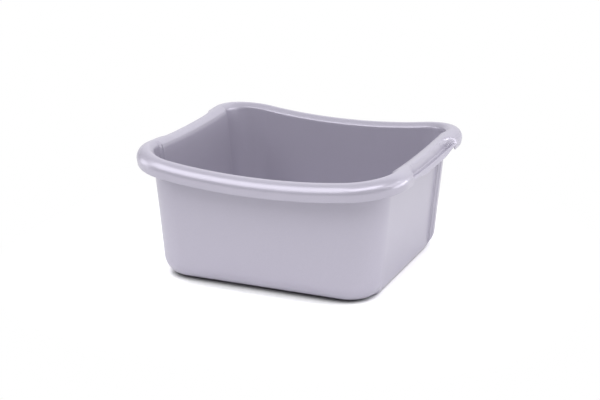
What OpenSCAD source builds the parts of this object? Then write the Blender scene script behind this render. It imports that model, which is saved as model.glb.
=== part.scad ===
// Washing up bowl: one plastic moulding, drawn as the walls, panels, rim and grips that it is made of.
// X runs along the long sides, Y from front to back, Z up. The origin is under the middle of the base.

/* [Bowl] */
// Length over the rim, along X
bowl_length = 360; // [330:1:400]
// Width over the rim, along Y
bowl_width = 329; // [310:1:370]
// Height of the rim's inner edge, where neither side dips
rim_height = 164; // [150:1:190]
// Thickness of the moulding
wall = 2; // [1.6:0.1:2.4]
// Corner radius of the walls at the rim
rim_corner = 45; // [38:1:55]
// Corner radius of the walls at the base
base_corner = 41; // [32:1:50]
// How far the short walls lean out from base to rim
short_wall_lean = 15; // [8:1:20]
// How far the long walls lean out from base to rim
long_wall_lean = 5; // [2:0.5:15]

/* [Base] */
// Radius between the base and the walls
base_radius = 21; // [12:1:24]
// Radius between the base and the side panels
panel_radius = 7; // [4:0.5:9]
// Height at which the base ends and the walls start
base_top = 26; // [26:1:40]

/* [Rim] */
// Width of the rim, from its inner edge to its outermost line
rim_width = 22; // [19:0.5:25]
// Height of the rim's crown over its inner edge
crown_rise = 3.5; // [2:0.5:6]
// Distance from the inner edge to the crown
crown_at = 8; // [6.5:0.5:10]
// Depth of the rim's outermost line under its inner edge
rim_side = 9.5; // [8:0.5:12]
// Depth of the skirt's lower edge under the inner edge
skirt_drop = 17.5; // [14:0.5:22]
// How far the skirt draws in below the outermost line
skirt_draft = 1; // [0:0.25:2]
// How far the rim dips in the middle of the long sides
long_side_dip = 17; // [6:1:22]
// How far the rim dips in the middle of the short sides
short_side_dip = 5; // [0:0.5:8]
// Depth of the band between the skirt's lowest edge and the walls' upper edge
band_below_skirt = 3.5; // [2:0.5:10]

/* [Side panels] */
// How far the flat side panels are set in
panel_recess = 4.5; // [3.5:0.5:7]
// Width of the slope at the panels' ends
panel_step = 5; // [3:0.5:6]
// Height over which a panel eases out to meet the rim
panel_ease = 14; // [10:1:20]
// How far the inner edge stays set in over the panels
edge_set_in = 3.5; // [0:0.25:3.5]

/* [Grips] */
// Half length of the grip's scoop along its inner wall
scoop_half_inner = 62; // [40:1:66]
// Half length of the grip's scoop along its lip
scoop_half_outer = 80; // [68:1:82]
// Width of the slope at the scoop's ends
scoop_end = 7; // [5:0.5:9]
// Width of the flat strip on top of the grip
strip_width = 11.5; // [10:0.5:12.5]
// Rise of the flat strip over the inner edge
strip_rise = 2.5; // [1:0.5:4]
// Depth of the scoop's ledge under the inner edge
ledge_drop = 10; // [7:0.5:11]
// Depth of the grip's lip under the inner edge
lip_drop = 13.5; // [12.5:0.5:16]
// How far the lip's lower edge climbs towards the grip's ends
lip_climb = 3; // [0:0.5:4]

/* [Hidden] */

metal_grey = [0.71, 0.70, 0.75];
inner_half_x = bowl_length / 2 - rim_width;
inner_half_y = bowl_width / 2 - rim_width;
top_half_x = inner_half_x + wall;
top_half_y = inner_half_y + wall;
base_half_x = top_half_x - short_wall_lean;
base_half_y = top_half_y - long_wall_lean;
lowest_edge = rim_height - long_side_dip;
band_base = lowest_edge - skirt_drop - band_below_skirt;
straight_y = min(base_half_y - base_corner, top_half_y - rim_corner);
margin = 0.2;
cut_gap = 3;
panel_half = straight_y - wall - panel_step - margin;
cut_half = panel_half - cut_gap;
edge_round = 1.5;
band_gap = 3.2;
band_top = edge_round + band_gap;
long_dip_power = 0.77;
short_dip_power = 1.3;

// The grip's section: radii of its edges and of the scoop's foot, and where its parts lie
grip_round = 2.4;
foot_round = 2;
scoop_u = strip_width + 1;
scoop_draft = 0.3;
ledge_u = rim_width - 4.2;
ledge_fall = 0.6;
lip_draft = 0.8;
climb_from = 40;
climb_length = 32;
slant_from = 30;

// Counts of steps, and shares between two ends
corner_steps = 12;
side_steps = 10;
crown_steps = 3;
ellipse_steps = 11;
fillet_steps = 6;
grip_steps = 4;
band_shares = [0, 0.35, 0.7, 1];
strip_share = 0.88;
fall_share = 0.6;
right_angle = 90;
edge_angles = [90, 60, 30, 4];
foot_angles = [184, 225, 266];
ledge_angles = [96, 62, 28];

// Half sizes and corner radius of the walls' outer face at height z
function half_x(z) = base_half_x + (top_half_x - base_half_x) * z / rim_height;
function half_y(z) = base_half_y + (top_half_y - base_half_y) * z / rim_height;
function corner(z) = base_corner + (rim_corner - base_corner) * z / rim_height;
function ease(t) = let (c = max(0, min(1, t))) c * c * (3 - 2 * c);
function blend(a, b, t) = a + (b - a) * t;

// Height of the rim's inner edge over a place in plan
function edge_z(x, y) =
    rim_height
    - long_side_dip * pow(max(0, 1 - pow(x / inner_half_x, 2)), long_dip_power)
    - short_side_dip * pow(max(0, 1 - pow(y / inner_half_y, 2)), short_dip_power);

// A station is [kind, value, panel]. Kind 0 is a place y on the short side, kind 1 an angle round the
// corner, and kind 2 a share of the long side. panel is 1 on the set in panel and 0 off it.
function corner_stations() = [for (i = [0 : corner_steps]) [1, right_angle * i / corner_steps, 0]];
function side_stations(n) = [for (i = [1 : n]) [2, 1 - i / n, 0]];
function step_stations(shift) = [[0, panel_half + shift, 1], [0, panel_half + panel_step + shift, 0]];

// The stations of a quarter, from the cut beside the grip to the middle of the long side
function quarter(shift, n) =
    concat([[0, cut_half, 1]], step_stations(shift), corner_stations(), side_stations(n));

// How far the panel is set in at height z, under an inner edge at height top
function set_in(z, top) = blend(panel_recess, edge_set_in, ease((z - top + panel_ease) / panel_ease));

// Place in plan of a station at height z, moved out by off, in the right front quarter
function plan(st, z, off, inset) =
    let (a = half_x(z), b = half_y(z), r = corner(z))
    st[0] == 0 ? [a + off - inset, -st[1]]
    : st[0] == 1 ? [a - r + (r + off - inset) * cos(st[1]), -(b - r + (r + off - inset) * sin(st[1]))]
    : [(a - r) * st[1], -(b + off - inset)];

function inner_edge_z(st) =
    let (p = plan(st, rim_height, -wall, 0))
    edge_z(min(p[0], inner_half_x), max(p[1], -inner_half_y));

// A point on the wall at height z. off is 0 outside and -wall inside.
function wall_point(st, z, off) =
    let (inset = st[2] * set_in(z, inner_edge_z(st)), p = plan(st, z, off, inset))
    [p[0], p[1], z];

// A point on the rim, u out from the inner edge and v above it
function rim_point(st, u, v) =
    let (top = inner_edge_z(st), inset = st[2] * edge_set_in * (1 - ease(u / strip_width)),
         p = plan(st, top, u - wall, inset))
    [p[0], p[1], top + v];

// Triangles between two rings of n points, the first of them ring i
function between(i, n) = [
    for (j = [0 : n - 1])
        let (k = (j + 1) % n, a = i * n + j, b = i * n + k, c = a + n, d = b + n)
        each [[a, b, d], [a, d, c]]
];
function flip(faces) = [for (f = faces) [f[2], f[1], f[0]]];
function moved(faces, by) = [for (f = faces) [for (i = f) i + by]];

// The end cap of a thin ring of n points, which goes up one side and down the other. The points after
// place same on the way up, skip of them, all meet one point of the way down.
function thin_cap(n, same, skip) =
    let (up = (n + skip) / 2,
         pair = [for (i = [0 : up - 1]) n - 1 - (i < same ? i : i < same + skip ? same - 1 : i - skip)])
    [
        for (i = [0 : up - 2])
            each pair[i] == pair[i + 1]
                ? [[i, i + 1, pair[i]]]
                : [[i, i + 1, pair[i + 1]], [i, pair[i + 1], pair[i]]]
    ];

// Lofts thin rings of equal length into a solid
module loft(rings, same = 2, skip = 0) {
    n = len(rings[0]);
    m = len(rings);
    cap = thin_cap(n, same, skip);
    sides = [for (i = [0 : m - 2]) each between(i, n)];
    polyhedron(
        points = [for (ring = rings) each ring],
        faces = concat(flip(cap), sides, moved(cap, (m - 1) * n)),
        convexity = 6
    );
}

// Lofts wide rings, with a flat cap round the axis at each end
module stack(rings) {
    n = len(rings[0]);
    m = len(rings);
    fan = [for (j = [0 : n - 1]) [j, (j + 1) % n, n * m]];
    top_fan = [for (j = [0 : n - 1]) [(m - 1) * n + j, (m - 1) * n + (j + 1) % n, n * m + 1]];
    sides = [for (i = [0 : m - 2]) each between(i, n)];
    polyhedron(
        points = concat([for (ring = rings) each ring], [[0, 0, rings[0][0][2]], [0, 0, rings[m - 1][0][2]]]),
        faces = concat(flip(fan), sides, top_fan),
        convexity = 6
    );
}

// Both quarters of the front, as rings ordered from the right cut to the left cut
function mirror_ring(ring) = [for (p = ring) [-p[0], p[1], p[2]]];
function u_shape(quarter_rings) =
    let (m = len(quarter_rings))
    concat(quarter_rings, [for (i = [m - 2 : -1 : 0]) mirror_ring(quarter_rings[i])]);

// Walls and panels

function wall_ring(outer, inner, low, high) = [
    wall_point(inner, low, -wall),
    wall_point(inner, high, -wall),
    wall_point(outer, high, 0),
    wall_point(outer, low, 0)
];

module front_wall_shape() {
    outer = quarter(0, 1);
    inner = quarter(wall, 1);
    loft(u_shape([for (i = [0 : len(outer) - 1]) wall_ring(outer[i], inner[i], base_top, band_base)]));
}

module right_panel_shape() {
    ends = [[0, -cut_half, 1], [0, cut_half, 1]];
    loft([for (st = ends) wall_ring(st, st, base_top, band_base)]);
}

// Rim and grips. Each profile is a list of [u, v] points from the inner edge to the skirt.

function edge_profile() = [
    [0, -edge_round],
    [edge_round * (1 - cos(right_angle / 2)), -edge_round * (1 - sin(right_angle / 2))],
    [edge_round, 0]
];

function bead_profile() = concat(
    edge_profile(),
    [for (i = [1 : crown_steps])
        let (s = i / (crown_steps + 1))
        [blend(edge_round, crown_at, s), crown_rise * sin(right_angle * s)]],
    [for (i = [0 : ellipse_steps])
        let (t = right_angle * i / ellipse_steps)
        [crown_at + (rim_width - crown_at) * sin(t), crown_rise - (crown_rise + rim_side) * (1 - cos(t))]],
    [[rim_width - skirt_draft, -skirt_drop]]
);

// A point at angle a on a round of radius r about [cu, cv]
function turn(cu, cv, r, a) = [cu + r * cos(a), cv + r * sin(a)];

// The scoop's section: strip, rounded edge, scoop wall, ledge, rounded edge and lip
strip_end = strip_width - grip_round;
ledge_low = ledge_fall - ledge_drop - grip_round;
function scoop_profile() = concat(
    edge_profile(),
    [for (i = [1 : crown_steps])
        let (s = strip_share * i / crown_steps)
        [blend(edge_round, strip_end, s), strip_rise * sin(right_angle * s)]],
    [for (a = edge_angles) turn(strip_end, strip_rise - grip_round, grip_round, a)],
    [[scoop_u - scoop_draft, blend(strip_rise, -ledge_drop, fall_share)]],
    [for (a = foot_angles) turn(scoop_u + foot_round, foot_round - ledge_drop, foot_round, a)],
    [for (a = ledge_angles) turn(ledge_u, ledge_low, grip_round, a)],
    [[rim_width - lip_draft, blend(-ledge_drop - grip_round, -lip_drop, fall_share)]],
    [[rim_width, -lip_drop]]
);

// Moves a profile inwards by d along its own normals, from point first on
function normal_at(p, i) =
    let (a = p[max(0, i - 1)], b = p[min(len(p) - 1, i + 1)], d = b - a)
    [-d[1], d[0]] / norm(d);
function under(p, first, d) = [for (i = [first : len(p) - 1]) p[i] - normal_at(p, i) * d];

bead_upper = bead_profile();
scoop_upper = scoop_profile();
under_from = 4;
lip_from = 15;
bead_lower = under(bead_upper, under_from, wall);
scoop_lower = under(scoop_upper, under_from, wall);

// A grip's section stands at place s along the side. The scoop's ends slant, so its points from the
// crown outwards lie further along than s, by up to the whole slant round the ends.
slant = scoop_half_outer - scoop_half_inner;
scoop_close = scoop_half_inner + scoop_end;
function slanting(s) =
    s < scoop_half_inner ? max(0, (s - slant_from) / (scoop_half_inner - slant_from))
    : min(1, (cut_half - s) / (cut_half - scoop_close));
function outward(i) = max(0, min(1, (bead_upper[i][0] - crown_at) / (rim_width - crown_at)));
function along(i, s) = s + sign(s) * slant * outward(i) * slanting(abs(s));

// The point i of a grip's section: the scoop in the middle and the full rim at the ends
function climb(i, y) = i < lip_from ? 0 : lip_climb * ease((abs(y) - climb_from) / climb_length);
function mixed(full, scoop, i, s) =
    blend(scoop + [0, climb(i, along(i, s))], full, ease((abs(s) - scoop_half_inner) / scoop_end));
function grip_point(full, scoop, i, s) =
    let (p = mixed(full, scoop, i, s)) rim_point([0, along(i, s), 1], p[0], p[1]);

// Section of the rim's band at a station, as one closed ring with the points of the rim above it
function band_z(top, share) = blend(band_base, top - band_top, share);
function band_ring(outer, inner, upper, lower) =
    let (top = inner_edge_z(outer), n = len(lower), m = len(band_shares))
    concat(
        [for (share = band_shares) wall_point(inner, band_z(top, share), -wall)],
        upper,
        [for (i = [n - 1 : -1 : 0]) lower[i]],
        [for (k = [m - 1 : -1 : 0]) wall_point(outer, band_z(top, band_shares[k]), 0)]
    );

module front_rim_shape() {
    outer = quarter(0, side_steps);
    inner = quarter(wall, side_steps);
    rings = [for (i = [0 : len(outer) - 1])
        band_ring(outer[i], inner[i],
            [for (p = bead_upper) rim_point(outer[i], p[0], p[1])],
            [for (p = bead_lower) rim_point(outer[i], p[0], p[1])])];
    loft(u_shape(rings), len(band_shares), under_from);
}

function grip_places() =
    let (half = concat(
        [for (i = [0 : grip_steps]) scoop_half_inner * i / grip_steps],
        [for (i = [1 : 2 * grip_steps]) scoop_half_inner + scoop_end * i / (2 * grip_steps)],
        [for (i = [1 : grip_steps]) blend(scoop_close, cut_half, i / grip_steps)]))
    concat([for (i = [len(half) - 1 : -1 : 1]) -half[i]], half);

module right_grip_shape() {
    rings = [for (s = grip_places())
        band_ring([0, s, 1], [0, s, 1],
            [for (i = [0 : len(bead_upper) - 1]) grip_point(bead_upper[i], scoop_upper[i], i, s)],
            [for (i = [0 : len(bead_lower) - 1])
                grip_point(bead_lower[i], scoop_lower[i], i + under_from, s)])];
    loft(rings, len(band_shares), under_from);
}

// Base: the floor and the radius up to the walls

function floor_radius(st) = st[2] == 1 ? panel_radius : base_radius;
function base_point(st, a, thick) =
    let (r = floor_radius(st), z = r - (r - thick) * cos(a),
         p = plan(st, z, -thick, (r - thick) * (1 - sin(a)) + st[2] * panel_recess))
    [p[0], p[1], z];
function base_side(st, thick) = concat(
    [for (i = [0 : fillet_steps]) base_point(st, right_angle * i / fillet_steps, thick)],
    [wall_point(st, base_top, -thick)]
);
function full_circle(q) =
    let (n = len(q))
    concat(
        q,
        [for (i = [n - 2 : -1 : 0]) [for (p = q[i]) [-p[0], p[1], p[2]]]],
        [for (i = [0 : n - 1]) [for (p = q[i]) [-p[0], -p[1], p[2]]]],
        [for (i = [n - 2 : -1 : 0]) [for (p = q[i]) [p[0], -p[1], p[2]]]]
    );

module base_shape() {
    columns_out = full_circle([for (st = quarter(0, 1)) base_side(st, 0)]);
    columns_in = full_circle([for (st = quarter(wall, 1)) base_side(st, wall)]);
    levels = len(columns_out[0]);
    rings = concat(
        [for (k = [0 : levels - 1]) [for (c = columns_out) c[k]]],
        [for (k = [levels - 1 : -1 : 0]) [for (c = columns_in) c[k]]]
    );
    stack(rings);
}

module base() { color(metal_grey) base_shape(); }
module front_wall() { color(metal_grey) front_wall_shape(); }
module back_wall() { color(metal_grey) mirror([0, 1, 0]) front_wall_shape(); }
module right_panel() { color(metal_grey) right_panel_shape(); }
module left_panel() { color(metal_grey) mirror([1, 0, 0]) right_panel_shape(); }
module front_rim() { color(metal_grey) front_rim_shape(); }
module back_rim() { color(metal_grey) mirror([0, 1, 0]) front_rim_shape(); }
module right_grip() { color(metal_grey) right_grip_shape(); }
module left_grip() { color(metal_grey) mirror([1, 0, 0]) right_grip_shape(); }

base();
front_wall();
back_wall();
left_panel();
right_panel();
front_rim();
back_rim();
left_grip();
right_grip();
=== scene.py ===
# %% [markdown]
# # A washing up bowl in silver-grey plastic
# This lesson dresses a plain construction model of a washing up bowl. The real bowl is one piece
# of injection-moulded polypropylene: hot plastic is pressed into a steel mould and lifted out
# whole, so it has no joints and no seams. Its colour comes from fine metallic flakes in the
# plastic, and its surface is a soft semi-gloss.
#
# The construction model is loaded first, because it fixes the size and the place of everything.

import math

import bmesh
import bpy
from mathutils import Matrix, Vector


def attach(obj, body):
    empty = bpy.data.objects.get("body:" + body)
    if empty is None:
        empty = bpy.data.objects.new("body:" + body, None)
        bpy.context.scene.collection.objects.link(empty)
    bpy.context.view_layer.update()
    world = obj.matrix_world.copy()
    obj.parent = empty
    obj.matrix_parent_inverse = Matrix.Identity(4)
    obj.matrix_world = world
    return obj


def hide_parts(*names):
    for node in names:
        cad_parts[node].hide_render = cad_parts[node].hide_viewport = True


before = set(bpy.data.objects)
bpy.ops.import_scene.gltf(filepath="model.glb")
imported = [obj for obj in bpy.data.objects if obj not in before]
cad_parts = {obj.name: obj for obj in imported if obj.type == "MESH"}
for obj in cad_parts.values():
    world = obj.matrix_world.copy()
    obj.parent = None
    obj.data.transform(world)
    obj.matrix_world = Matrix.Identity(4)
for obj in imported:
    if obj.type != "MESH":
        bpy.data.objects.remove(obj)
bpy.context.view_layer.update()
print("nodes:", ", ".join(sorted(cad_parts)))

# %% [markdown]
# ## The bowl's own sizes
# All the sizes of the moulding are in millimetres, as they would stand on its drawing. The
# construction model was drawn from the same sizes, so the dressed bowl lies on it everywhere. The
# plan is a rectangle with rounded corners that grows a little towards the top, because a moulding
# needs draft to leave its mould.

# %% Sizes of the bowl
MM = 0.001
wall = 2.0
rim_height = 164.0
rim_width = 22.0
# Half sizes of the rim's inner edge, and how much narrower the bowl is at its base.
inner_x, inner_y = 158.0, 142.5
lean_x, lean_y = 15.0, 5.0
corner_low, corner_high = 41.0, 45.0
# How deep the rim dips on the long and the short sides, and how steeply it comes up again.
dip_long, dip_short = 17.0, 5.0
power_long, power_short = 0.77, 1.3
base_radius, panel_radius = 21.0, 7.0
# How far a side panel is set in over its face and at the rim, and the height where that changes.
recess, edge_recess, recess_ease = 4.5, 3.5, 14.0
print(f"over the rim: {2 * (inner_x + rim_width):.0f} x {2 * (inner_y + rim_width):.0f} mm")


# %% [markdown]
# ## The wavy top edge
# The rim dips in the middle of each side, where a hand lifts the bowl or a plate is drawn out
# over it, and it rises towards the corners. A straight rim could be bent afterwards with a lattice.
# Here one formula gives the height of the inner edge over any place in plan, so that the walls and
# the rim always meet.

# %% Heights and half sizes


def blend(a, b, share):
    return a + (b - a) * share


def ease(share):
    """A share from 0 to 1 that starts and ends gently."""
    c = max(0.0, min(1.0, share))
    return c * c * (3 - 2 * c)


def edge_height(x, y):
    """Height of the rim's inner edge over a place in plan."""
    along_x = max(0.0, 1 - (x / inner_x) ** 2) ** power_long
    along_y = max(0.0, 1 - (y / inner_y) ** 2) ** power_short
    return rim_height - dip_long * along_x - dip_short * along_y


def outline_at(z):
    """Half sizes and corner radius of the outer face at height z."""
    share = z / rim_height
    half_x = inner_x + wall - lean_x * (1 - share)
    half_y = inner_y + wall - lean_y * (1 - share)
    return half_x, half_y, blend(corner_low, corner_high, share)


def panel_inset(z, top):
    """How far the flat side panel is set in at height z. It eases out to meet the rim."""
    return blend(recess, edge_recess, ease((z - top + recess_ease) / recess_ease))


print("inner edge: corner", edge_height(inner_x, inner_y), "middle", edge_height(0, inner_y))

# %% [markdown]
# ## Places round the bowl
# A lathe turns a section round an axis. Here the section travels round a rounded rectangle, so
# the first job is a list of stations, the places where it stops. A curve with a bevel could carry
# one section round, but this bowl needs a different section at its grips, so it is built station
# by station.
#
# A station is on the short side (with its distance along it), on the corner (with its angle) or on
# the long side (with its share of the straight part). Stations stand close together where the
# shape turns fast: at the steps of the side panels and at the ends of the grips.

# %% Stations of one quarter
# Half lengths of the grip's scoop at its inner and outer lines, and the length of its end.
scoop_inner, scoop_outer, scoop_end = 62.0, 80.0, 7.0
scoop_close = scoop_inner + scoop_end
plain_middle = 32.0
strip_width = 11.5
# Where a side panel's end step starts and ends along the side, and how its two edges are rounded.
step_start, step_end = 91.3, 98.0
step_round_in, step_round_out = 2.0, 0.9
middle_steps, grip_steps, scoop_steps, side_steps = 8, 12, 14, 10
step_points, corner_steps, long_steps = 6, 30, 22


def step_shape(count):
    """The panel's end step in plan: distance along it, and the share of the inset left."""
    shape = []
    for i in range(count + 1):
        angle = math.radians(90 * i / count)
        along = step_start + step_round_in * math.sin(angle)
        shape.append((along, 1 - (step_round_in / recess) * (1 - math.cos(angle))))
    for i in range(count + 1):
        angle = math.radians(90 * (1 - i / count))
        along = step_end - step_round_out * math.sin(angle)
        shape.append((along, (step_round_out / recess) * (1 - math.cos(angle))))
    return shape


def spaced(start, end, count):
    return [blend(start, end, i / count) for i in range(count)]


def quarter_stations():
    """Stations from the middle of the right side to the middle of the front."""
    places = spaced(0, plain_middle, middle_steps)
    places += spaced(plain_middle, scoop_inner, grip_steps)
    places += spaced(scoop_inner, scoop_close, scoop_steps)
    places += spaced(scoop_close, step_start, side_steps)
    stations = [("side", place, 1.0) for place in places]
    stations += [("side", place, share) for place, share in step_shape(step_points)]
    for i in range(1, corner_steps + 1):
        stations.append(("corner", math.radians(90 * i / corner_steps), 0.0))
    for i in range(1, long_steps + 1):
        stations.append(("long", 1 - i / long_steps, 0.0))
    return stations


quarter = quarter_stations()
print("stations in a quarter:", len(quarter))

# %% [markdown]
# The functions below turn a station and a height into a point, for the walls and for the rim. The
# grips' scoops have slanted ends, so the points further out on the rim lie further along the side
# than those at its inner edge. `slanting` spreads that shift out over the grip. Over a side panel
# the rim's inner edge is set in with the panel, and that inset fades out over the width of the
# grip's strip.

# %% Places in plan
slant_from = 30.0


def plan(station, z, off, inset):
    """Place in plan of a station at height z, moved out by off and in by inset."""
    kind, value, _ = station
    half_x, half_y, radius = outline_at(z)
    if kind == "side":
        return half_x + off - inset, -value
    if kind == "corner":
        reach = radius + off - inset
        return half_x - radius + reach * math.cos(value), radius - half_y - reach * math.sin(value)
    return (half_x - radius) * value, inset - half_y - off


def edge_at(station):
    """Height of the rim's inner edge at a station."""
    x, y = plan(station, rim_height, -wall, 0)
    return edge_height(min(x, inner_x), max(y, -inner_y))


def wall_point(station, z, off):
    """A point on the wall at height z. off is 0 on the outer face and -wall on the inner one."""
    inset = station[2] * panel_inset(z, edge_at(station))
    x, y = plan(station, z, off, inset)
    return Vector((x, y, z))


def slanting(place):
    """Share of the slant at a place along the side: none in the middle, all at the scoop's end."""
    if place < scoop_inner:
        return max(0.0, (place - slant_from) / (scoop_inner - slant_from))
    return max(0.0, min(1.0, (step_start - place) / (step_start - scoop_close)))


def along_grip(station, outward):
    """The station moved along the side by the slant of the scoop's ends."""
    kind, value, inset = station
    if kind != "side":
        return station
    shift = (scoop_outer - scoop_inner) * outward * slanting(value)
    return (kind, value + shift, inset)


def rim_point(station, u, v, outward):
    """A point on the rim, u out from its inner edge and v above it."""
    station = along_grip(station, outward)
    top = edge_at(station)
    inset = station[2] * edge_recess * (1 - ease(u / strip_width))
    x, y = plan(station, top, u - wall, inset)
    return Vector((x, y, top + v))


print("grip runs to", along_grip(("side", scoop_inner, 1.0), 1.0)[1], "mm along the side")

# %% [markdown]
# ## The section of the full rim
# Most of the rim is a bead that rolls over to a short skirt, which stiffens the bowl and hides its
# raw edge. A plain half circle would do from far away, but the real crown is flatter than that. So
# the section starts with a small rounding at the inner edge, climbs to the crown along a sine
# curve, rolls over in a quarter of an ellipse and ends in a straight skirt.

# %% Section of the full rim
crown_rise, crown_at = 3.5, 8.0
rim_side, skirt_drop, skirt_draft = 9.5, 17.5, 1.0
# The inner edge is an arc of three steps, each turned by this many degrees.
edge_round, edge_turn, edge_steps = 3.0, 17.0, 3
crown_points, roll_points = 6, 18
skirt_edge = wall / 2


def edge_rounding():
    """The rounding at the rim's inner edge, from the wall up towards the crown."""
    turns = [math.radians(180 - edge_turn * i) for i in range(edge_steps + 1)]
    return [
        (edge_round + edge_round * math.cos(t), edge_round * math.sin(t) - edge_round)
        for t in turns
    ]


def bead_section():
    section = edge_rounding()
    start_u, start_v = section[-1]
    for i in range(1, crown_points):
        share = i / crown_points
        u = blend(start_u, crown_at, share)
        section.append((u, blend(start_v, crown_rise, math.sin(math.pi / 2 * share))))
    for i in range(roll_points):
        t = math.pi / 2 * i / (roll_points - 1)
        u = crown_at + (rim_width - crown_at) * math.sin(t)
        section.append((u, crown_rise - (crown_rise + rim_side) * (1 - math.cos(t))))
    section.append((rim_width - skirt_draft / 2, -(rim_side + skirt_drop) / 2))
    section.append((rim_width - skirt_draft, -skirt_drop + skirt_edge))
    return section


bead = bead_section()
print("points in the rim's section:", len(bead))

# %% [markdown]
# ## The section of the grip
# At the short sides a scoop is taken out of the bead for the fingers: a flat strip at the top, a
# small wall, a ledge and a low lip. It could be cut out of the bead with a boolean, but that leaves
# sharp edges that a mould never has. Here it is a section of its own, with as many points as the
# bead has, so that one can turn smoothly into the other at the ends of the grip.

# %% Section of the scooped grip
strip_rise, strip_round = 2.5, 2.4
# The strip reaches its full height a little before its outer rounding, and is flat from there.
strip_level = 1.15
ledge_drop, ledge_rise, lip_drop, lip_climb = 10.0, 0.6, 13.5, 3.0
scoop_wall, foot_round = 12.5, 2.0
ledge_round, ledge_at = 2.2, 17.8
# Points between the roundings, out from the inner edge and above it.
small_wall = ((12.0, -3.2), (12.4, -6.2))
ledge = ((15.8, -9.85), (17.0, -9.6))
lip = ((21.2, -12.3), (21.7, -12.9), (22.0, -13.2))


def turning(centre_u, centre_v, radius, angles):
    """Points of an arc at the given angles, in degrees."""
    turns = [math.radians(a) for a in angles]
    return [(centre_u + radius * math.cos(t), centre_v + radius * math.sin(t)) for t in turns]


def scoop_section():
    section = edge_rounding()
    start_u, start_v = section[-1]
    strip_end = strip_width - strip_round
    for i in range(1, crown_points):
        share = i / crown_points
        climb = math.sin(math.pi / 2 * min(1, strip_level * share))
        section.append((blend(start_u, strip_end, share), blend(start_v, strip_rise, climb)))
    section += turning(strip_end, strip_rise - strip_round, strip_round, (90, 63, 36, 10))
    section += small_wall
    foot_u, foot_v = scoop_wall + foot_round, foot_round - ledge_drop
    section += turning(foot_u, foot_v, foot_round, (186, 212, 240, 266))
    section += ledge
    ledge_v = ledge_rise - ledge_drop - ledge_round
    section += turning(ledge_at, ledge_v, ledge_round, (88, 64, 40, 16))
    section += lip
    section.append((rim_width, -lip_drop))
    return section


scoop = scoop_section()
assert len(scoop) == len(bead)
print("the scoop is", round(strip_rise + ledge_drop, 1), "mm deep below the strip")

# %% [markdown]
# ## The underside of the rim
# A moulding has nearly the same thickness everywhere, so the underside of the rim is the same
# section moved inwards by the wall's thickness, along its own normals. A solidify modifier could do
# that too, but it would also fill the fold between the rim and the wall. The free edge at the
# bottom is a half circle, because a sharp one would cut the hand.

# %% The underside and the free edge
# The first point of the section that has an underside of its own.
under_from = 6


def offset_inwards(section):
    """The section moved inwards by the wall's thickness, from point under_from on."""
    moved = []
    last = len(section) - 1
    for i in range(under_from, last + 1):
        before, after = section[max(0, i - 1)], section[min(last, i + 1)]
        du, dv = after[0] - before[0], after[1] - before[1]
        length = math.hypot(du, dv)
        moved.append((section[i][0] + wall * dv / length, section[i][1] - wall * du / length))
    return moved


def free_edge(section):
    """Three points of the half-round edge below a section's last point."""
    u, v = section[-1]
    return [(u - 0.3, v - 0.7), (u - 1.0, v - 1.0), (u - 1.7, v - 0.7)]


bead_under, scoop_under = offset_inwards(bead), offset_inwards(scoop)
print("first point under the rim:", [round(v, 2) for v in bead_under[0]])

# %% [markdown]
# ## From the grip to the full rim
# At the ends of the grip the scoop turns back into the bead. On the real bowl the strip at the top
# fades away softly, while the outer end of the scoop is crisp. So each point of the section gets
# its own length for the change: long near the crown and short at the outermost line. The lower edge
# of the lip also climbs a little towards the ends.

# %% Rows of the rim
soft_end, crisp_end = 20.0, 5.5
climb_from, climb_over = 40.0, 32.0
lip_first, lip_points = 19, 6


def outward_share(i):
    """How far out a point of the section is, from 0 at the crown to 1 at the outermost line."""
    point = bead[min(i, len(bead) - 1)]
    return max(0.0, min(1.0, (point[0] - crown_at) / (rim_width - crown_at)))


def grip_mix(station, i):
    """Share of the full rim at a point of a station, 0 in the middle of the grip."""
    if station[0] != "side":
        return 1.0
    length = blend(soft_end, crisp_end, outward_share(i))
    return ease(1 - (scoop_close - station[1]) / length)


def lip_lift(station, i):
    """How far the lip's lower edge climbs towards the ends of the grip."""
    if station[0] != "side":
        return 0.0
    place = along_grip(station, outward_share(i))[1]
    return lip_climb * ease((place - climb_from) / climb_over) * ease((i - lip_first) / lip_points)


def rim_row(station, full, cut, first):
    """Points of the rim at a station, in 3-D. first is the place of full[0] in the section."""
    row = []
    for k in range(len(full)):
        i = k + first
        share = grip_mix(station, i)
        u = blend(cut[k][0], full[k][0], share)
        v = blend(cut[k][1] + lip_lift(station, i), full[k][1], share)
        row.append(rim_point(station, u, v, outward_share(i)))
    return row


half_way = ("side", scoop_close - crisp_end / 2, 1.0)
print("share of the full rim half-way through the crisp end:", grip_mix(half_way, len(bead) - 1))

# %% [markdown]
# ## The base and the walls
# The base has a generous radius up to the walls and corners, and a tighter one under the set-in
# panels. Such radii let the hot plastic flow, and they are easy to wipe. A bevel modifier gives one
# radius to an edge, and this one changes along the way, so each station draws its own arc.

# %% The base's radius and the walls
fillet_points = 14
wall_points = 16
# Above 1, the points on the wall crowd towards the rim.
crowding = 1.5


def base_corner_point(station, angle, off):
    """A point on the radius between the base and the wall."""
    points = []
    for radius, inset in ((base_radius, 0.0), (panel_radius, recess)):
        reach = radius - off
        z = radius - reach * math.cos(angle)
        x, y = plan(station, z, -off, reach * (1 - math.sin(angle)) + inset)
        points.append(Vector((x, y, z)))
    return points[0].lerp(points[1], station[2])


def face_of_wall(station, off, top):
    """The radius at the base and the wall above it, from the floor up."""
    column = [
        base_corner_point(station, math.pi / 2 * i / fillet_points, off)
        for i in range(fillet_points + 1)
    ]
    start = column[-1].z
    for i in range(1, wall_points + 1):
        z = blend(start, top, 1 - (1 - i / wall_points) ** crowding)
        column.append(wall_point(station, z, -off))
    return column


front_foot = face_of_wall(quarter[-1], 0.0, rim_height)[0]
print("the flat base reaches to y =", round(front_foot.y, 1), "mm in front")

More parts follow.
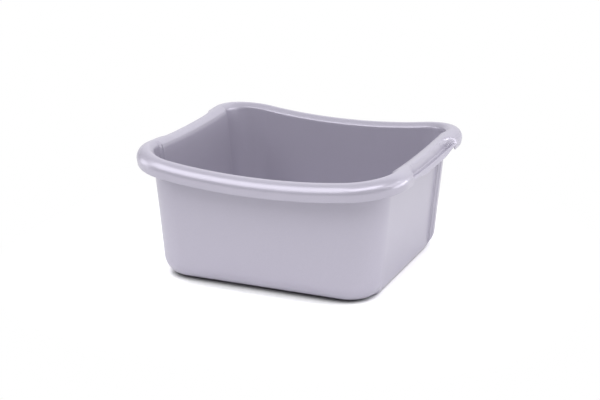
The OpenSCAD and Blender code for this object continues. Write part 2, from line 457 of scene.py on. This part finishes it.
# %% [markdown]
# ## Floor and underside
# Underneath, a shallow recess leaves a foot all round, so that the bowl stands on its edge and
# doesn't rock. A small round mark is left in the middle, where the plastic entered the mould. Both
# are rows of points on the lines from the middle to each station.

# %% Rows of the floor and the underside
floor_shares = (0.94, 0.8, 0.6, 0.4, 0.2)
under_shares = (0.97, 0.93, 0.905, 0.88, 0.86, 0.6, 0.35, 0.15)
# The foot takes up the last tenth of each line.
foot_share = 0.9
foot_recess = 1.0
gate_radius, gate_bevel, gate_depth = 4.0, 0.4, 0.35


def floor_row(edge, shares, z_of):
    return [Vector((edge.x * s, edge.y * s, z_of(s))) for s in shares]


def under_height(share):
    return 0.0 if share > foot_share else foot_recess


def gate_row(edge):
    """The round mark in the middle of the underside."""
    direction = Vector((edge.x, edge.y, 0)).normalized()
    rows = ((gate_radius + gate_bevel, 0.0), (gate_radius, gate_depth), (gate_radius / 2, gate_depth))
    return [direction * r + Vector((0, 0, foot_recess + rise)) for r, rise in rows]


print("foot recess", foot_recess, "mm, mould mark", 2 * gate_radius, "mm across")

# %% [markdown]
# ## The closed line of the shell
# With all its parts ready, the section is one closed line: from the middle of the floor up the
# inner face, over the rim, round its free edge, back under it, down the outer face and in under the
# base. A small fillet joins the underside of the rim to the wall.

# %% The whole section
# How far below the rim's inner edge the two faces of the wall stop.
inner_stop, outer_stop = 4.0, 5.9
under_fillet = ((3.05, -1.15), (2.35, -2.2), (2.02, -3.3))


def whole_section(station):
    """The closed line of the shell at a station, from the floor's middle to the underside's."""
    top = edge_at(station)
    inner = face_of_wall(station, wall, top - inner_stop)
    outer = face_of_wall(station, 0.0, top - outer_stop)
    floor = floor_row(inner[0], reversed(floor_shares), lambda s: wall)
    above = rim_row(station, bead, scoop, 0)
    edge = rim_row(station, free_edge(bead), free_edge(scoop), len(bead) - 1)
    under = rim_row(station, bead_under, scoop_under, under_from)
    fillet = [rim_point(station, u, v, 0.0) for u, v in under_fillet]
    below = floor_row(outer[0], under_shares, under_height) + gate_row(outer[0])
    return floor + inner + above + edge + under[::-1] + fillet + outer[::-1] + below


print("points in the whole section:", len(whole_section(quarter[0])))

# %% [markdown]
# ## Build the shell
# The bowl is the same to the left and right, and to the front and back, so a quarter of the
# stations is enough. A mirror modifier could make the rest. Here the other three quarters are
# mirrored as rows of points and put in order round the bowl, which leaves one closed mesh with no
# seam to weld. Faces then join each section to the next, and two small fans close the floor and the
# underside.

# %% Rows round the bowl


def full_circle(quarter_rows):
    """The four quarters in order round the bowl, without doubling the rows they share."""

    def mirrored(row, sign_x, sign_y):
        return [Vector((p.x * sign_x, p.y * sign_y, p.z)) for p in row]

    front_right = quarter_rows[:]
    front_left = [mirrored(row, -1, 1) for row in quarter_rows[-2::-1]]
    back_left = [mirrored(row, -1, -1) for row in quarter_rows[1:]]
    back_right = [mirrored(row, 1, -1) for row in quarter_rows[-2:0:-1]]
    return front_right + front_left + back_left + back_right


rows = full_circle([whole_section(station) for station in quarter])
print("stations round the bowl:", len(rows))

# %% The moulding's mesh


def shell_mesh(name):
    maker = bmesh.new()
    grid = [[maker.verts.new(p * MM) for p in row] for row in rows]
    floor_middle = maker.verts.new(Vector((0, 0, wall)) * MM)
    under_middle = maker.verts.new(Vector((0, 0, foot_recess + gate_depth)) * MM)
    for i, row in enumerate(grid):
        following = grid[(i + 1) % len(grid)]
        for j in range(len(row) - 1):
            maker.faces.new((row[j], row[j + 1], following[j + 1], following[j]))
        maker.faces.new((floor_middle, row[0], following[0]))
        maker.faces.new((under_middle, following[-1], row[-1]))
    bmesh.ops.recalc_face_normals(maker, faces=maker.faces)
    mesh = bpy.data.meshes.new(name)
    maker.to_mesh(mesh)
    maker.free()
    return mesh


bowl_mesh = shell_mesh("bowl_moulding")
bowl = bpy.data.objects.new("bowl_moulding", bowl_mesh)
bpy.context.scene.collection.objects.link(bowl)
print("vertices:", len(bowl_mesh.vertices), "faces:", len(bowl_mesh.polygons))

# %% [markdown]
# Smooth shading hides the edges between the faces, but near a tight rounding it also bends the
# light on the flat wall beside it. The Weighted Normal modifier lets the large faces decide, which
# keeps the walls calm. The bowl then takes the place of all nine solids of the construction model,
# because the real moulding shows no line between them.

# %% Smooth the shading and put the bowl in place
normal_weight = 60

bowl_mesh.shade_smooth()
even_shading = bowl.modifiers.new("even_shading", "WEIGHTED_NORMAL")
even_shading.mode = "FACE_AREA"
even_shading.weight = normal_weight
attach(bowl, "root")
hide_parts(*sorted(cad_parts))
print("the bowl replaces", len(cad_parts), "nodes")

# %% [markdown]
# ## Material: moulded polypropylene with metallic pigment
# Polypropylene is a slightly waxy plastic with a refractive index of 1.49. A few percent of
# aluminium flakes, each about 0.05 mm wide, make it silver: most of them lie flat in the skin of
# the moulding, so it shines softly like a metal under a thin clear layer. A metal with a coat could
# show that. Here a plastic that is one third metallic gives the same look with fewer settings, and
# the roughness of a fine mould spreads its highlights.
#
# The flakes are too fine to show at this size, so they are drawn about 1 mm wide and very faint.
# Broad, faint clouds follow the way the plastic flowed up the walls, and a very slight ripple of
# the skin breaks up the reflections.

# %% Helpers for materials


def to_linear(hex_colour):
    """An sRGB hex colour as the linear values that the shaders use."""
    parts = [int(hex_colour[i : i + 2], 16) / 255 for i in (1, 3, 5)]
    linear = [c / 12.92 if c <= 0.04045 else ((c + 0.055) / 1.055) ** 2.4 for c in parts]
    return (*linear, 1.0)


def add_node(tree, kind, links=None, **settings):
    """Adds a node. A setting is a socket's name or the node's own property."""
    node = tree.nodes.new(kind)
    for name, value in settings.items():
        socket = name.replace("_", " ").title()
        if socket in node.inputs:
            node.inputs[socket].default_value = value
        else:
            setattr(node, name, value)
    for socket, source in (links or {}).items():
        tree.links.new(source, node.inputs[socket])
    return node


white = to_linear("#FFFFFF")
print("white in linear values:", white)

# %% Moulded polypropylene
plastic_ior = 1.49
metal_share = 0.33
pigment_light, pigment_dark = "#B5B1BF", "#B1ADBB"
sheen_low, sheen_high = 0.28, 0.32
# Nearly all values of the clouds lie between these two.
cloud_low, cloud_high = 0.3, 0.7
# Sizes in millimetres. The clouds are drawn out along the height of the bowl.
flake_size, cloud_size, ripple_size = 1.0, 45.0, 2.5
cloud_stretch = 2.5
tone_base = 0.1
ripple_height, ripple_strength = 0.5, 0.05


def flow_clouds(tree, place):
    across = 1000 / cloud_size
    scale = (across, across, across / cloud_stretch)
    stretch = add_node(tree, "ShaderNodeMapping", {"Vector": place}, Scale=scale)
    links = {"Vector": stretch.outputs[0]}
    return add_node(tree, "ShaderNodeTexNoise", links, Scale=1.0, Detail=3.0, Roughness=0.5)


def pigment_colour(tree, place, cloud):
    """The two tones of the pigment, mixed by the clouds and the flakes."""
    flakes = add_node(tree, "ShaderNodeTexVoronoi", {"Vector": place}, Scale=1000 / flake_size)
    tone = add_node(tree, "ShaderNodeSeparateColor", {"Color": flakes.outputs["Color"]})
    links = {0: cloud, 1: tone.outputs["Red"]}
    share = add_node(tree, "ShaderNodeMath", links, operation="MULTIPLY_ADD")
    share.inputs[2].default_value = tone_base
    colour = add_node(tree, "ShaderNodeMix", {"Factor": share.outputs[0]}, data_type="RGBA")
    colour.inputs["A"].default_value = to_linear(pigment_dark)
    colour.inputs["B"].default_value = to_linear(pigment_light)
    return colour.outputs["Result"]


def skin_ripple(tree, place):
    links = {"Vector": place}
    skin = add_node(tree, "ShaderNodeTexNoise", links, Scale=1000 / ripple_size, Detail=2.0)
    links = {"Height": skin.outputs["Fac"]}
    height = ripple_height * MM
    return add_node(tree, "ShaderNodeBump", links, Strength=ripple_strength, Distance=height)


def moulded_polypropylene():
    material = bpy.data.materials.new("moulded_polypropylene_metallic_grey")
    material.use_nodes = True
    tree = material.node_tree
    shader = tree.nodes["Principled BSDF"]
    shader.inputs["IOR"].default_value = plastic_ior
    shader.inputs["Metallic"].default_value = metal_share
    place = add_node(tree, "ShaderNodeTexCoord").outputs["Object"]
    cloud = flow_clouds(tree, place).outputs["Fac"]
    tree.links.new(pigment_colour(tree, place, cloud), shader.inputs["Base Color"])
    sheen = add_node(tree, "ShaderNodeMapRange", {"Value": cloud})
    sheen.inputs["From Min"].default_value = cloud_low
    sheen.inputs["From Max"].default_value = cloud_high
    sheen.inputs["To Min"].default_value = sheen_low
    sheen.inputs["To Max"].default_value = sheen_high
    tree.links.new(sheen.outputs[0], shader.inputs["Roughness"])
    tree.links.new(skin_ripple(tree, place).outputs[0], shader.inputs["Normal"])
    return material


bowl_mesh.materials.append(moulded_polypropylene())
print("material:", bowl_mesh.materials[0].name)

# %% [markdown]
# ## The white studio floor
# The photograph shows the bowl on plain white, with a thin dark shadow under its edge. The floor is
# a sheet of matt white paper, as studios use, and it keeps the shadow near the bowl. Further out it
# turns into plain white for the camera and for reflections, so the sheet's end never shows.
#
# The soft lamps alone leave the gap under the edge too light. So a shadow is painted on the paper:
# for the camera, its colour is darkened a little where it sees little open space, which Blender
# measures as ambient occlusion. Its direction is tilted backwards, because in the photograph the
# shadow is darkest in front of the bowl and hardly shows at the sides.

# %% How far the shadow reaches
floor_half = 3.0
# The middle of the shadow's area is a rectangle with these half sizes, in metres.
shadow_core = (0.09, 0.07)
shadow_near, shadow_far = 0.08, 0.30


def away_from_bowl(tree):
    """0 near the bowl and 1 where the floor is plain white."""
    place = add_node(tree, "ShaderNodeTexCoord").outputs["Object"]
    quadrant = add_node(tree, "ShaderNodeVectorMath", {0: place}, operation="ABSOLUTE")
    links = {0: quadrant.outputs[0]}
    beyond = add_node(tree, "ShaderNodeVectorMath", links, operation="SUBTRACT")
    beyond.inputs[1].default_value = (*shadow_core, 0)
    outside = add_node(tree, "ShaderNodeVectorMath", {0: beyond.outputs[0]}, operation="MAXIMUM")
    distance = add_node(tree, "ShaderNodeVectorMath", {0: outside.outputs[0]}, operation="LENGTH")
    links = {"Value": distance.outputs["Value"]}
    away = add_node(tree, "ShaderNodeMapRange", links, interpolation_type="SMOOTHSTEP")
    away.inputs["From Min"].default_value = shadow_near
    away.inputs["From Max"].default_value = shadow_far
    return away.outputs["Result"]


print("the shadow fades out from", shadow_near, "to", shadow_far, "m beyond its middle")

# %% The paper's tone and its painted shadow
floor_seen, floor_bounce = 1.3, 1.0
# How far the painted shadow looks for open space, in metres, and the share of it that counts as open.
painted_shadow_reach, painted_shadow_open = 0.06, 0.55
# It looks as much backwards as upwards, so its direction leans by 45 degrees.
painted_shadow_tilt = 0.7


def paper_tone_with_painted_shadow(tree, is_camera):
    """The paper's lightness: a painted shadow makes it darker in narrow gaps for the camera; plain
    for the light it throws.
    """
    tilted = add_node(tree, "ShaderNodeCombineXYZ", X=0.0, Y=painted_shadow_tilt, Z=painted_shadow_tilt)
    links = {"Normal": tilted.outputs[0]}
    space = add_node(tree, "ShaderNodeAmbientOcclusion", links, Distance=painted_shadow_reach)
    links = {"Value": space.outputs["AO"]}
    # Painted shadow: the camera sees the paper darker where there is little open space around it.
    painted_shadow = add_node(tree, "ShaderNodeMapRange", links, interpolation_type="SMOOTHSTEP")
    painted_shadow.inputs["From Max"].default_value = painted_shadow_open
    painted_shadow.inputs["To Max"].default_value = floor_seen
    links = {"Value": is_camera, "To Max": painted_shadow.outputs["Result"]}
    tone = add_node(tree, "ShaderNodeMapRange", links)
    tone.inputs["To Min"].default_value = floor_bounce
    return tone.outputs["Result"]


print("open space is measured over", 1000 * painted_shadow_reach, "mm")

# %% Floor


def matt_white_paper():
    material = bpy.data.materials.new("studio_floor_matt_white")
    material.use_nodes = True
    tree = material.node_tree
    tree.nodes.remove(tree.nodes["Principled BSDF"])
    ray = add_node(tree, "ShaderNodeLightPath").outputs
    links = {0: ray["Is Camera Ray"], 1: ray["Is Glossy Ray"]}
    seen = add_node(tree, "ShaderNodeMath", links, operation="MAXIMUM")
    links = {0: seen.outputs[0], 1: ray["Is Transmission Ray"]}
    seen = add_node(tree, "ShaderNodeMath", links, operation="MAXIMUM")
    links = {0: seen.outputs[0], 1: away_from_bowl(tree)}
    plain = add_node(tree, "ShaderNodeMath", links, operation="MULTIPLY")
    matt = add_node(tree, "ShaderNodeBsdfDiffuse", {"Color": paper_tone_with_painted_shadow(tree, ray["Is Camera Ray"])})
    glow = add_node(tree, "ShaderNodeEmission", Color=white, Strength=1.0)
    links = {0: plain.outputs[0], 1: matt.outputs[0], 2: glow.outputs[0]}
    mix = add_node(tree, "ShaderNodeMixShader", links)
    tree.links.new(mix.outputs[0], tree.nodes["Material Output"].inputs["Surface"])
    return material


floor_mesh = bpy.data.meshes.new("studio_floor")
signs = ((-1, -1), (1, -1), (1, 1), (-1, 1))
corners = [(x * floor_half, y * floor_half, 0) for x, y in signs]
floor_mesh.from_pydata(corners, [], [(0, 1, 2, 3)])
floor_object = bpy.data.objects.new("studio_floor", floor_mesh)
bpy.context.scene.collection.objects.link(floor_object)
floor_mesh.materials.append(matt_white_paper())
print("floor:", 2 * floor_half, "m square")

# %% [markdown]
# ## Light
# Product photographs use softboxes, large lamps behind white cloth. A glossy thing shows each of
# them as a soft stripe, so their places are read from the stripes on the rim. The key lamp stands
# high at the front left and makes the long highlight on the front rim. The front lamp carries that
# highlight on to the right corner, and the rim lamp takes it round to the grip. The right lamp
# stands low and lights the side panel. The left lamp gives the left corner its edge.
#
# Each lamp is a flat rectangle that points at the bowl. Small lamps could be brighter, but a soft
# semi-gloss needs wide ones, or the stripes turn thin and hard.

# %% Lamps
lamp_aim = Vector((0.0, 0.0, 0.08))
# Name, place in metres, width and height in metres, and power in watts.
lamps = (
    ("key_softbox", (-0.76, -0.86, 1.26), (1.3, 1.15), 10.2),
    ("left_softbox", (-1.67, -0.3, 0.45), (0.8, 0.8), 5.0),
    ("right_softbox", (1.55, 0.70, 0.18), (1.5, 0.5), 8.0),
    ("rim_softbox", (1.45, 0.20, 0.85), (1.3, 0.4), 3.4),
    ("front_softbox", (0.55, -0.80, 1.35), (1.6, 0.6), 10.0),
)


def softbox(name, place, size, power):
    data = bpy.data.lights.new(name, "AREA")
    data.shape = "RECTANGLE"
    data.size, data.size_y = size
    data.energy = power
    lamp = bpy.data.objects.new(name, data)
    lamp.location = place
    lamp.rotation_euler = (lamp_aim - Vector(place)).to_track_quat("-Z", "Y").to_euler()
    bpy.context.scene.collection.objects.link(lamp)


for lamp in lamps:
    softbox(*lamp)
print("lamps:", ", ".join(name for name, *_ in lamps))

# %% [markdown]
# ## The room around
# A studio's white ceiling and the bright backdrop behind the bowl also light it. The world does
# this with two soft gradients: one grows from the horizon to the zenith, and the other grows
# towards the back. A picture of a real studio could be wrapped round the scene instead, but two
# gradients are easier to tune. The camera itself sees plain white.

# %% World
room_strength, ceiling_strength, backdrop_strength = 0.1, 0.78, 0.9
# How far back a direction points where the backdrop starts to glow, and where it is brightest.
backdrop_from, backdrop_full = 0.3, 0.8


def room_light(tree):
    """Strength of the room's light in a direction."""
    direction = add_node(tree, "ShaderNodeTexCoord").outputs["Generated"]
    parts = add_node(tree, "ShaderNodeSeparateXYZ", {"Vector": direction}).outputs
    links = {"Value": parts["Y"]}
    behind = add_node(tree, "ShaderNodeMapRange", links, interpolation_type="SMOOTHSTEP")
    behind.inputs["From Min"].default_value = backdrop_from
    behind.inputs["From Max"].default_value = backdrop_full
    behind.inputs["To Max"].default_value = backdrop_strength
    above = add_node(tree, "ShaderNodeMapRange", {"Value": parts["Z"]})
    above.inputs["To Min"].default_value = room_strength
    above.inputs["To Max"].default_value = room_strength + ceiling_strength
    links = {0: above.outputs[0], 1: behind.outputs[0]}
    return add_node(tree, "ShaderNodeMath", links, operation="ADD").outputs[0]


def studio_world():
    world = bpy.data.worlds.new("studio")
    world.use_nodes = True
    tree = world.node_tree
    fill = tree.nodes["Background"]
    fill.inputs["Color"].default_value = to_linear("#F4F4F6")
    tree.links.new(room_light(tree), fill.inputs["Strength"])
    seen_white = add_node(tree, "ShaderNodeBackground", Color=white, Strength=1.0)
    ray = add_node(tree, "ShaderNodeLightPath").outputs
    links = {0: ray["Is Camera Ray"], 1: fill.outputs[0], 2: seen_white.outputs[0]}
    choose = add_node(tree, "ShaderNodeMixShader", links)
    tree.links.new(choose.outputs[0], tree.nodes["World Output"].inputs["Surface"])
    return world


bpy.context.scene.world = studio_world()
bpy.context.scene.view_settings.view_transform = "Standard"
print("world:", bpy.context.scene.world.name)

# %% [markdown]
# ## Camera
# The photograph was taken from a good distance, a little to the right and 18 degrees above the
# bowl, with a long lens that keeps the sides nearly parallel. The lens and the distance were worked
# out from the bowl's corners, for a picture of 600 by 400.

# %% Camera
azimuth, elevation = math.radians(22.99), math.radians(17.96)
distance = 1.9558
target = Vector((-0.00363, -0.00153, 0.0779))
lens, sensor_width = 90.0, 36.0


def direction_of(turn, height):
    """The direction from the bowl to a camera at a turn from the front and a height, as angles."""
    level = math.cos(height)
    return Vector((math.sin(turn) * level, -math.cos(turn) * level, math.sin(height)))


back = direction_of(azimuth, elevation)
camera_data = bpy.data.cameras.new("camera")
camera_data.lens = lens
camera_data.sensor_width = sensor_width
camera = bpy.data.objects.new("camera", camera_data)
camera.location = target + back * distance
camera.rotation_euler = (-back).to_track_quat("-Z", "Y").to_euler()
bpy.context.scene.collection.objects.link(camera)
bpy.context.scene.camera = camera
print("camera at", [round(v, 3) for v in camera.location], "m")
